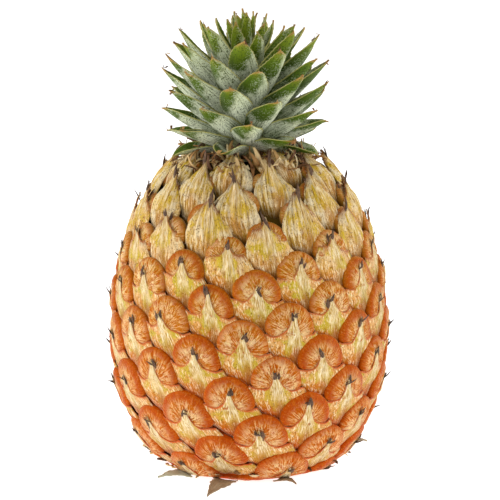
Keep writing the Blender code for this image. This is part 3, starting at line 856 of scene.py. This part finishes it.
# %% Leaf finishes
def make_leaf(name, bloom, roughness):
    """Waxy leaf: green under a white bloom of that strength, which makes it duller and finely lined."""
    material, tree, shader = new_finish(name, roughness)
    uv = add(tree, "UVMap", uv_map="UVMap")
    place = add(tree, "TexCoord").outputs["Object"]
    height = add(tree, "SeparateXYZ", {0: place}).outputs[2]
    side, along = add(tree, "SeparateXYZ", {0: uv}).outputs[:2]
    # bloom lines about 0.4 mm apart
    lines_at = add(tree, "VectorMath", {0: uv, 1: (30.0, 3.0, 1.0)}, operation="MULTIPLY")
    shift = add(tree, "VectorMath", {0: place, 1: (60.0, 60.0, 20.0)}, operation="MULTIPLY")
    lines_at = add(tree, "VectorMath", {0: lines_at, 1: shift}, operation="ADD")
    lines = add(tree, "TexNoise", {"Vector": lines_at, "Scale": 1.3, "Detail": 4.0, "Roughness": 0.75})
    rub = add(tree, "TexNoise", {"Vector": place, "Scale": 80.0, "Detail": 3.0, "Roughness": 0.55})
    # flakes of bloom about 0.7 mm across
    flake = add(tree, "TexNoise", {"Vector": place, "Scale": 1300.0, "Detail": 2.0, "Roughness": 0.65})
    green = add(tree, "ValToRGB", {"Fac": along}, stops=[
        (0.0, "6E7A40"), (0.25, "485C1A"), (0.5, "3A5000"),
        (0.8, "506A04"), (0.93, "7E8418"), (1.0, "9A8430")])
    # the youngest leaves, at the top, are yellow-green
    young = add(tree, "MapRange", {0: height, 1: 186.0 * MM, 2: 208.0 * MM, 3: 0.0, 4: 0.8})
    green = add(tree, "Mix", {0: young, 6: green, 7: linear("8A9A1E")}, data_type="RGBA")
    white = add(tree, "ValToRGB", {"Fac": along}, stops=[
        (0.0, "F0F4E4"), (0.4, "E4EAD0"), (0.8, "CCD4A4"), (0.94, "A89C68"), (1.0, "96703C")])
    off = add(tree, "Math", {0: side, 1: 0.5}, operation="SUBTRACT")
    away = add(tree, "Math", {0: off}, operation="ABSOLUTE")
    # the bloom is rubbed off the upper part of a leaf; painted sheen makes the bloom whiter on one side of
    # its keel and greener on the other
    high = add(tree, "MapRange", {0: along, 1: 0.30, 2: 0.80, 3: -0.20, 4: 0.20})
    wear_and_sheen = add(tree, "Math", {0: rub, 1: high}, operation="ADD")
    wear_and_sheen = weigh(tree, wear_and_sheen, (off, -0.50), (lines, 0.25), (flake, 0.45))
    left = add(tree, "MapRange", {0: wear_and_sheen, 1: 0.82, 2: 0.91, 3: bloom, 4: 0.0})
    skin = add(tree, "Mix", {0: left, 6: green, 7: white}, data_type="RGBA")
    near = add(tree, "MapRange", {0: wear_and_sheen, 1: 1.20, 2: 0.92})
    skin = lay_over(
        tree, skin,
        (flake, (0.54, 0.0), (0.60, 0.9), near, "C8D0B4"),  # flakes left where the bloom is rubbed off
        (flake, (0.38, 0.9), (0.44, 0.0), 1.0, "34440E"),  # scars in the bloom
        (lines, (0.38, 0.85), (0.51, 0.0), 1.0, "3E4E10"),  # fine green lines
    )
    margin = add(tree, "MapRange", {0: away, 1: 0.46, 2: 0.49})
    skin = add(tree, "Mix", {0: margin, 6: skin, 7: linear("B4B06A")}, data_type="RGBA")
    # ends dry out, the older ones more
    dry = weigh(tree, along, (rub, 0.24), (away, 0.12), (young, -0.05))
    dry = add(tree, "MapRange", {0: dry, 1: 1.04, 2: 1.12})
    tan = add(tree, "ValToRGB", {"Fac": lines}, stops=[(0.38, "7A5220"), (0.6, "C09A58")])
    skin = add(tree, "Mix", {0: dry, 6: skin, 7: tan}, data_type="RGBA")
    relief = add(tree, "Math", {0: lines, 1: flake}, operation="ADD")
    bump = add(tree, "Bump", {"Height": relief, "Strength": 0.5, "Distance": 0.3 * MM})
    fill(tree, shader, {"Base Color": skin, "Normal": bump, "Specular IOR Level": 0.16})
    return material


leaf_under = make_leaf("bloomed_leaf_underside", 0.95, 0.55)
leaf_upper = make_leaf("waxy_leaf_upper_side", 0.25, 0.38)
print("finishes:", leaf_under.name, leaf_upper.name)

# %% [markdown]
# ## The crown's leaves
# The leaves sit on the same kind of spiral as the eyes, from broad spreading ones at the neck to small
# upright ones in the heart. Each is a trough with toothed margins. A long grid is laid on the curve that
# the solid model has for that leaf, then hollowed, toothed, and given a thickness that thins to the margins.

# %% Curves of the leaves, as in the solid model
CROWN_X = 0.5 * float(stem_low[0] + stem_high[0])
LEAF_PLACES, LEAF_COUNT = 56, 51
LEAF_TURN, LEAF_START = 137.5, 288.8
LEAF_BASE_Z, LEAF_TOP_BASE_Z = 144.3 * MM, 178.8 * MM
LEAF_REACH, STEM_RADIUS, LEAF_WIDTH = 40.0 * MM, 15.0 * MM, 17.0 * MM
CROWN_LOW_Z, CROWN_HEIGHT = 142.8 * MM, 72.0 * MM
TIP_LOW_Z, TIP_HIGH_Z = 144.5 * MM, 211.4 * MM


def leaf_ends(place):
    """Base (radius, height), tip (radius, height) and the climb at the tip, for a place from 0 to 1."""
    base = (STEM_RADIUS * math.sqrt(1.0 - place**2.6), LEAF_BASE_Z + (LEAF_TOP_BASE_Z - LEAF_BASE_Z) * place)
    rise = place + 0.41 * place * (1.0 - place) + 0.32 * place * (1.0 - place) * (1.0 - 2.0 * place)
    height = TIP_LOW_Z + (TIP_HIGH_Z - TIP_LOW_Z) * rise
    level = (height - CROWN_LOW_Z) / CROWN_HEIGHT
    radius = LEAF_REACH * (1.0 - 0.09 * (1.0 - level) ** 3) * math.sqrt(1.0 - level**5)
    climb = 48.0 - 78.0 * (1.0 - level) ** 5 + 42.0 * level**6
    return base, (radius, height), math.radians(climb)


def leaf_curve(base, tip, climb, along):
    """Points (radius, height) along a leaf's middle line, bowed evenly on its chord."""
    base, tip = np.array(base), np.array(tip)
    chord = math.atan2(tip[1] - base[1], tip[0] - base[0])
    start = 2.0 * chord - climb
    reach = 0.36 * float(np.linalg.norm(tip - base))
    first = base + reach * np.array([math.cos(start), math.sin(start)])
    second = tip - reach * np.array([math.cos(climb), math.sin(climb)])
    t = np.asarray(along)[:, None]
    return (1 - t) ** 3 * base + 3 * (1 - t) ** 2 * t * first + 3 * (1 - t) * t**2 * second + t**3 * tip


def leaf_width(place):
    """Greatest width of the leaf at a place."""
    width = LEAF_WIDTH * (0.80 + 0.20 * min(1.0, 4.0 * place))
    return width * (1.0 - 0.30 * max(0.0, (place - 0.78) / 0.22) ** 1.4)


# %% One leaf
LEAF_COLUMNS, LEAF_ROWS = 10, 44
bpy.ops.mesh.primitive_grid_add(x_subdivisions=LEAF_COLUMNS, y_subdivisions=LEAF_ROWS, size=2.0)
blade, blade_faces, blade_uv = take_template(bpy.context.object)
blade_side, blade_along = blade[:, 0], 0.5 + 0.5 * blade[:, 1]
LEAF_WRAP = 0.80  # the most that a leaf reaches round the stem each way, in radians
LEAF_THICKNESS = 1.25 * MM
TOOTH_STEP, TOOTH_SIZE = 2.3 * MM, 0.75 * MM
TIP_WIDTH = 0.35 * MM


def shape_leaf(base, tip, climb, width, azimuth, hook, sway, bluntness, seed):
    """A leaf's vertices in the world. hook bends the dry tip down, sway bends it sideways."""
    length = float(np.hypot(tip[0] - base[0], tip[1] - base[1]))
    line = leaf_curve(base, tip, climb, blade_along)
    ahead = leaf_curve(base, tip, climb, np.minimum(blade_along + 0.01, 1.01))
    run = ahead - line
    run /= np.linalg.norm(run, axis=1)[:, None]
    up_r, up_z = -run[:, 1], run[:, 0]
    taper = (1.0 - np.clip(blade_along / 0.985, 0.0, 1.0) ** bluntness) ** 0.9
    full = np.maximum(width * taper, TIP_WIDTH)
    half = np.minimum(LEAF_WRAP, 0.5 * full / line[:, 0])
    tooth = (blade_along * length / TOOTH_STEP) % 1.0
    toothed = (np.abs(blade_side) > 0.99) & (blade_along > 0.12) & (blade_along < 0.93)
    half = half + np.where(toothed, TOOTH_SIZE * (tooth - 0.3) / line[:, 0], 0.0)
    trough = 0.27 * full * np.abs(blade_side) ** 1.6 * (1.0 - 0.6 * blade_along**3)
    late = np.clip((blade_along - 0.80) / 0.20, 0.0, 1.0)
    ripple = 0.25 * MM * np.sin(blade_along * 9.0 + seed) * blade_side
    radius = line[:, 0] + up_r * (trough + ripple)
    height = line[:, 1] + up_z * (trough + ripple) - hook * late**2.2
    radius -= 0.25 * abs(hook) * late**3
    turn = azimuth + blade_side * half + sway * late**2 / line[:, 0]
    return np.column_stack([CROWN_X + radius * np.sin(turn), -radius * np.cos(turn), height])


def build_leaf(name, points):
    """A finished leaf mesh from its laid-out vertices."""
    leaf = join_copies(name, [points], blade_faces, blade_uv)
    thick = leaf.vertex_groups.new(name="thick")
    thickness = (1.0 - 0.9 * np.abs(blade_side) ** 1.5) * (1.0 - 0.85 * blade_along**4)
    for index, share in enumerate(thickness):
        thick.add([index], float(share), "REPLACE")
    leaf.data.materials.append(leaf_under)
    leaf.data.materials.append(leaf_upper)
    leaf.data.flip_normals()
    solidify(leaf, LEAF_THICKNESS, inner_slot=1)
    leaf.vertex_groups.clear()
    return leaf


# %% All the leaves that the solid model has
leaf_tips = []
for number in range(LEAF_COUNT):
    place = number / (LEAF_PLACES - 1)
    azimuth = math.radians(LEAF_START + LEAF_TURN * number)
    base, tip, climb = leaf_ends(place)
    hook = chance.uniform(-0.3, 2.2) * MM
    sway = chance.normal(0.0, 1.1) * MM
    leaf_tips.append((place, azimuth + sway / tip[0], (tip[0] - 0.25 * abs(hook), tip[1] - hook), climb))
    bluntness = chance.uniform(2.3, 3.4) - 0.5 * place
    laid = shape_leaf(base, tip, climb, leaf_width(place), azimuth, hook, sway, bluntness, float(number))
    leaf = build_leaf(f"leaf_{number + 1:02d}", laid)
    finish_piece(leaf, (leaf_under, leaf_upper), "leaf", f"crown_leaf_{number + 1:02d}")

# %% [markdown]
# ## Dry ends of the leaves
# Many leaf tips have dried to thin brown curls. The same small point as on the eyes serves for them: it is
# stretched to a whisker and curled round a small arc.

# %% Whiskers on the leaf tips
def shape_whisker(tip, azimuth, climb, length, bend, width):
    """A curled whisker from a leaf's tip (radius, height), in the world."""
    along = spike[:, 2]
    slope = climb + bend * along
    radius = tip[0] - 0.8 * MM + length * along * np.cos(slope) + 0.5 * width * spike[:, 1] * (1.1 - along)
    height = tip[1] + length * along * np.sin(slope)
    aside = width * spike[:, 0] * (1.1 - along) + 0.25 * length * math.sin(7.0 * bend) * along**2
    turn = azimuth + aside / radius
    return np.column_stack([CROWN_X + radius * np.sin(turn), -radius * np.cos(turn), height])


whiskers = []
for place_along, azimuth, tip, climb in leaf_tips:
    length = chance.uniform(1.5, 6.5) * MM * (1.0 - 0.6 * place_along)
    bend = chance.choice([-1.0, 1.0]) * chance.uniform(0.5, 2.6)
    whiskers.append(shape_whisker(tip, azimuth, climb, length, bend, chance.uniform(0.35, 0.8) * MM))
whisker_tone = chance.uniform(0.0, 0.7, len(whiskers))
whisker_piece = join_copies("leaf_whiskers", whiskers, spike_faces, spike_uv, tone=whisker_tone)
finish_piece(whisker_piece, fringe_paper, "dry_bract")

# %% [markdown]
# ## The heart of the crown
# The youngest leaves stand close round each other in the middle, narrow, upright and yellow-green. They
# carry on the spiral where the larger leaves stop.

# %% Heart leaves
HEART_COUNT = 21
HEART_THICKNESS = 0.7 * MM
heart_laid = []
for number in range(HEART_COUNT):
    share = number / (HEART_COUNT - 1)
    base = ((5.6 - 4.6 * share) * MM, (176.0 + 5.0 * share) * MM)
    drop = 9.0 - 8.5 * share + chance.uniform(0.0, 3.5)
    tip = ((27.0 - 25.0 * share**0.8) * MM, float(heart_high[2]) - drop * MM)
    climb = math.radians(64.0 + 24.0 * share)
    azimuth = math.radians(LEAF_START + LEAF_TURN * (LEAF_COUNT + number))
    width = (15.0 - 8.0 * share) * MM
    sway = chance.normal(0.0, 0.8) * MM
    heart_laid.append(shape_leaf(base, tip, climb, width, azimuth, 0.3 * MM, sway, 1.7, number))
heart = join_copies("heart_leaves", heart_laid, blade_faces, blade_uv)
heart.data.materials.append(leaf_under)
heart.data.materials.append(leaf_upper)
heart.data.flip_normals()
solidify(heart, HEART_THICKNESS, inner_slot=1)
finish_piece(heart, (leaf_under, leaf_upper), "young_leaf", "crown_heart")

# %% [markdown]
# ## The dry fringe at the neck
# Between the fruit and its crown the smallest bracts have dried to a shaggy ring of brown and straw-coloured
# scraps, and a few more cling round the foot. One curled strip, scattered at many sizes, makes them all.

# %% The fringe
bpy.ops.mesh.primitive_grid_add(x_subdivisions=3, y_subdivisions=9, size=2.0)
strip, strip_faces, strip_uv = take_template(bpy.context.object)
strip_side, strip_along = strip[:, 0], 0.5 + 0.5 * strip[:, 1]


def shape_scrap(azimuth, radius, height, length, width, climb, curl, sway):
    """A curled strip that starts near the neck and runs outwards and up."""
    slope = climb + curl * strip_along
    half = 0.5 * width * (1.0 - 0.8 * strip_along**1.5)
    out = radius + length * strip_along * np.cos(slope)
    rise = height + length * strip_along * np.sin(slope) + 0.25 * width * np.abs(strip_side)
    turn = azimuth + (strip_side * half + sway * strip_along**2) / radius
    return np.column_stack([0.5 * CROWN_X + out * np.sin(turn), -out * np.cos(turn), rise])


SCRAP_COUNT, FOOT_SCRAP_COUNT = 340, 90
SCRAP_THICKNESS = 0.25 * MM
above = even_z > WIDEST_Z
scraps = []
for _ in range(SCRAP_COUNT):
    radius = chance.uniform(13.5, 31.0) * MM
    level = float(np.interp(-radius, -even_r[above], even_z[above])) - 0.8 * MM
    azimuth = chance.uniform(0.0, 2.0 * math.pi)
    length = chance.uniform(4.0, 9.5) * MM
    width = chance.uniform(0.7, 3.2) * MM
    climb, curl = chance.uniform(0.0, 1.3), chance.uniform(-1.4, 1.4)
    sway = chance.normal(0.0, 2.0) * MM
    scraps.append(shape_scrap(azimuth, radius, level, length, width, climb, curl, sway))
# a few more cling round the foot
for _ in range(FOOT_SCRAP_COUNT):
    level = chance.uniform(0.6, 5.0) * MM
    radius = float(outline_radius(level)) - 2.2 * MM
    azimuth = chance.uniform(0.0, 2.0 * math.pi)
    length, width = chance.uniform(2.5, 5.5) * MM, chance.uniform(1.5, 5.0) * MM
    climb, curl = chance.uniform(0.0, 0.4), chance.uniform(-0.5, 0.6)
    sway = chance.normal(0.0, 1.0) * MM
    scraps.append(shape_scrap(azimuth, radius, level, length, width, climb, curl, sway))
fringe = join_copies("dry_fringe", scraps, strip_faces, strip_uv, tone=chance.random(len(scraps)))
solidify(fringe, SCRAP_THICKNESS)
finish_piece(fringe, fringe_paper, "dry_bract")

# %% [markdown]
# ## Dried bracts at the foot
# A few of the lowest bracts are left hanging under the fruit and lie out on the table, curled and torn at
# the edges. Each is a flat grid, narrowed to a point and lifted a little where it curls.

# %% Base bracts
bpy.ops.mesh.primitive_grid_add(x_subdivisions=8, y_subdivisions=16, size=2.0)
scale_points, scale_faces, scale_uv = take_template(bpy.context.object)
scale_side, scale_along = scale_points[:, 0], 0.5 + 0.5 * scale_points[:, 1]
ROOT_RADIUS = 44.0 * MM
FOOT_BRACT_THICKNESS = 0.5 * MM
LEAST_HEIGHT = 0.6 * MM
# name, azimuth of the root, bearing, length, width, tone; angles are in degrees from the front
BASE_BRACTS = (
    ("front", -13.0, -22.0, 23.0 * MM, 11.5 * MM, 0.60),
    ("left", -38.0, -75.0, 15.0 * MM, 11.0 * MM, 1.00),
    ("right", 17.0, 58.0, 10.0 * MM, 7.5 * MM, 0.50),
    ("back", 168.0, 160.0, 17.5 * MM, 11.5 * MM, 0.65),
    ("side", 102.0, 112.0, 14.5 * MM, 10.5 * MM, 0.80),
)
for order, (name, azimuth, bearing, length, width, tone) in enumerate(BASE_BRACTS):
    azimuth, bearing = math.radians(azimuth), math.radians(bearing)
    root = ROOT_RADIUS * np.array([math.sin(azimuth), -math.cos(azimuth)])
    forward = np.array([math.sin(bearing), -math.cos(bearing)])
    sideways = np.array([-forward[1], forward[0]])
    # the two edges are torn in different ways
    torn = 1.0 + 0.35 * wander_along(scale_along + 2.0 * (scale_side > 0.0), 0.11, 3.7 * order)
    half = 0.5 * np.maximum(0.5 * MM, width * (1.0 - scale_along**1.5) * torn)
    flat = root + forward * (length * scale_along)[:, None] + sideways * (scale_side * half)[:, None]
    lift = (0.9 + 1.3 * np.sin(math.pi * scale_along) * (1.0 - 0.5 * np.abs(scale_side))) * MM
    lift += roughen(np.column_stack([flat, lift]), 3.0 * MM, 0.5 * MM, seed=order)
    lift += 0.9 * MM * np.abs(scale_side) ** 3
    laid = np.column_stack([flat, np.maximum(lift, LEAST_HEIGHT)])
    scale = join_copies(f"foot_bract_{name}", [laid], scale_faces, scale_uv, tone=[tone])
    solidify(scale, FOOT_BRACT_THICKNESS)
    finish_piece(scale, base_paper, "dry_bract", f"base_bract_{name}")

# %% [markdown]
# ## The stalk's cut end and the crown's stem
# Their shapes in the solid model are right, so they keep them and only get a finish. A cut stalk is a ring
# of rind round pale fibre bundles that end as dots.

# %% Cut fibre finish
def make_cut_fibre(name, pale, brown):
    """Cut and dried plant fibre: pale and dull, with dots where its bundles end."""
    material, tree, shader = new_finish(name, 0.8)
    place = add(tree, "TexCoord").outputs["Object"]
    # fibre bundles end as dots 1 mm apart
    dots = add(tree, "TexVoronoi", {"Vector": place, "Scale": 900.0})
    stain = add(tree, "TexNoise", {"Vector": place, "Scale": 160.0, "Detail": 4.0})
    mixed = add(tree, "Math", {0: dots.outputs["Distance"], 1: stain}, operation="MULTIPLY")
    colour = add(tree, "ValToRGB", {"Fac": mixed}, stops=[(0.05, brown), (0.35, pale)])
    bump = add(tree, "Bump", {"Height": dots.outputs["Distance"], "Strength": 0.5, "Distance": 0.4 * MM})
    fill(tree, shader, {"Base Color": colour, "Normal": bump})
    return material


for node_name, pale, brown in (("cut_stem", "C9AE7C", "6E4E2C"), ("crown_stem", "C6C69A", "8A8A5A")):
    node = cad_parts[node_name]
    for place in node.material_slots:
        place.material = make_cut_fibre(node_name + "_fibre", pale, brown)
    print("finished", node_name)

# %% [markdown]
# ## Floor, light and camera
# A pale floor and soft light from all round, stronger from the upper left, show colour without hard
# shadows. The camera looks slightly down through a long lens, which keeps the fruit's shape true.

# %% Stage
bpy.ops.mesh.primitive_plane_add(size=6.0, location=(0, 0, -0.2 * MM))
floor = bpy.context.object
floor.name = "floor"
floor_paint, tree, shader = new_finish("matt_white_floor_paint", 0.9)
# it glows a little, as under a light table, so that it stays white without strong light on the fruit
fill(tree, shader, {
    "Base Color": (0.6, 0.6, 0.6, 1.0),
    "Emission Color": (1.0, 1.0, 1.0, 1.0),
    "Emission Strength": 0.90,
})
floor.data.materials.append(floor_paint)

world = bpy.data.worlds.new("studio")
bpy.context.scene.world = world
world.use_nodes = True
sky = world.node_tree.nodes["Background"]
fill(world.node_tree, sky, {"Color": (1.0, 1.0, 1.0, 1.0), "Strength": 0.36})


FRUIT_MIDDLE = Vector((0.0, 0.0, 0.1))


def add_light(name, place, size, power):
    """A square soft light, its size in metres and its power in watts, that faces the middle of the fruit."""
    data = bpy.data.lights.new(name, "AREA")
    data.size = size
    data.energy = power
    light = bpy.data.objects.new(name, data)
    light.location = place
    light.rotation_euler = (FRUIT_MIDDLE - Vector(place)).to_track_quat("-Z", "Y").to_euler()
    bpy.context.scene.collection.objects.link(light)


for light in (
    ("key", (-0.6, -0.9, 1.1), 0.35, 5.9),
    ("left", (-1.1, 0.0, 0.4), 0.7, 7.0),
    ("right", (1.1, 0.0, 0.5), 0.7, 7.6),
    ("top", (0.1, 0.6, 1.1), 0.6, 4.0),
):
    add_light(*light)

# %% Camera
ELEVATION = math.radians(13.27)
DISTANCE = 1.0
AIM = Vector((0.45 * MM, 0.0, 98.5 * MM))
camera_data = bpy.data.cameras.new("camera")
camera_data.sensor_width = 36.0
camera_data.lens = 155.6  # a long lens, in mm
camera = bpy.data.objects.new("camera", camera_data)
camera.location = AIM + DISTANCE * Vector((0.0, -math.cos(ELEVATION), math.sin(ELEVATION)))
camera.rotation_euler = (math.pi / 2 - ELEVATION, 0.0, 0.0)
bpy.context.scene.collection.objects.link(camera)
bpy.context.scene.camera = camera
bpy.context.scene.view_settings.view_transform = "Standard"
print("camera at, mm:", [round(x / MM) for x in camera.location])
